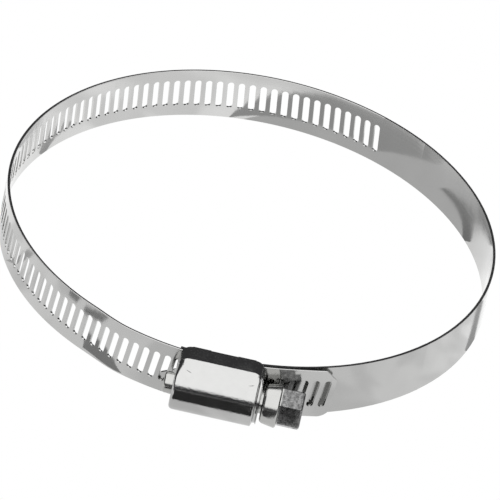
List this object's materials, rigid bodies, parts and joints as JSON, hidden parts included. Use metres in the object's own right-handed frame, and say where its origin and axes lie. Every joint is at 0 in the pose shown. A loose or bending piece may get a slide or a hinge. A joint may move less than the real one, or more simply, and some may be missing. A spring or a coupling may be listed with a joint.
{
  "type": "hose clamp",
  "caption": "Worm-drive hose clamp: a perforated steel band closed into a ring by a housing whose hexagon-head screw drives the band along by its slots.",
  "frame": {"origin": "centre of the ring, half way across the band", "axes": "+Z along the ring's axis; the screw lies along X on the -Y side with its hexagon head at +X"},
  "size_m": [0.1101, 0.1193, 0.0142],
  "materials": {
    "band_steel": "rolled stainless strip, bright with a fine lengthwise grain",
    "housing_steel": "pressed stainless sheet, smooth and bright",
    "screw_steel": "zinc-plated carbon steel, cold formed, slightly rough"
  },
  "bodies": {
    "housing": {"housing": "housing_steel", "saddle": "housing_steel", "band_fixed_end": "band_steel"},
    "screw": {"screw": "screw_steel"},
    "band_arc_1": {"band_arc_1": "band_steel"},
    "band_arc_2": {"band_arc_2": "band_steel"},
    "band_arc_3": {"band_arc_3": "band_steel"},
    "band_arc_4": {"band_arc_4": "band_steel"},
    "band_arc_5": {"band_arc_5": "band_steel"},
    "band_arc_6": {"band_arc_6": "band_steel"},
    "band_arc_7": {"band_arc_7": "band_steel"},
    "band_tail": {"band_tail": "band_steel"}
  },
  "joints": [
    {"name": "screw_turn", "type": "hinge", "parent": "housing", "child": "screw", "pos_m": [0, -0.05915, 0], "axis": [-1, 0, 0], "range_deg": [-360, 1440]},
    {"name": "band_flex_1", "type": "hinge", "parent": "housing", "child": "band_arc_1", "pos_m": [0.02738, -0.04741, 0], "axis": [0, 0, 1], "range_deg": [-0.41, 1.65]},
    {"name": "band_flex_2", "type": "hinge", "parent": "band_arc_1", "child": "band_arc_2", "pos_m": [0.05288, -0.01417, 0], "axis": [0, 0, 1], "range_deg": [-0.34, 1.34]},
    {"name": "band_flex_3", "type": "hinge", "parent": "band_arc_2", "child": "band_arc_3", "pos_m": [0.04741, 0.02738, 0], "axis": [0, 0, 1], "range_deg": [-0.33, 1.3]},
    {"name": "band_flex_4", "type": "hinge", "parent": "band_arc_3", "child": "band_arc_4", "pos_m": [0.01783, 0.05176, 0], "axis": [0, 0, 1], "range_deg": [-0.34, 1.34]},
    {"name": "band_flex_5", "type": "hinge", "parent": "band_arc_4", "child": "band_arc_5", "pos_m": [-0.0195, 0.05116, 0], "axis": [0, 0, 1], "range_deg": [-0.33, 1.31]},
    {"name": "band_flex_6", "type": "hinge", "parent": "band_arc_5", "child": "band_arc_6", "pos_m": [-0.04895, 0.02452, 0], "axis": [0, 0, 1], "range_deg": [-0.31, 1.23]},
    {"name": "band_flex_7", "type": "hinge", "parent": "band_arc_6", "child": "band_arc_7", "pos_m": [-0.05265, -0.01502, 0], "axis": [0, 0, 1], "range_deg": [-0.32, 1.27]},
    {"name": "band_flex_8", "type": "hinge", "parent": "band_arc_7", "child": "band_tail", "pos_m": [-0.03078, -0.04528, 0], "axis": [0, 0, 1], "range_deg": [-0.39, 1.57]}
  ],
  "couplings": [
    {"joint": "band_flex_1", "follows": "screw_turn", "ratio": 0.0010921},
    {"joint": "band_flex_2", "follows": "screw_turn", "ratio": 0.0008872},
    {"joint": "band_flex_3", "follows": "screw_turn", "ratio": 0.0008603},
    {"joint": "band_flex_4", "follows": "screw_turn", "ratio": 0.0008858},
    {"joint": "band_flex_5", "follows": "screw_turn", "ratio": 0.0008654},
    {"joint": "band_flex_6", "follows": "screw_turn", "ratio": 0.0008136},
    {"joint": "band_flex_7", "follows": "screw_turn", "ratio": 0.0008428},
    {"joint": "band_flex_8", "follows": "screw_turn", "ratio": 0.0010389}
  ]
}
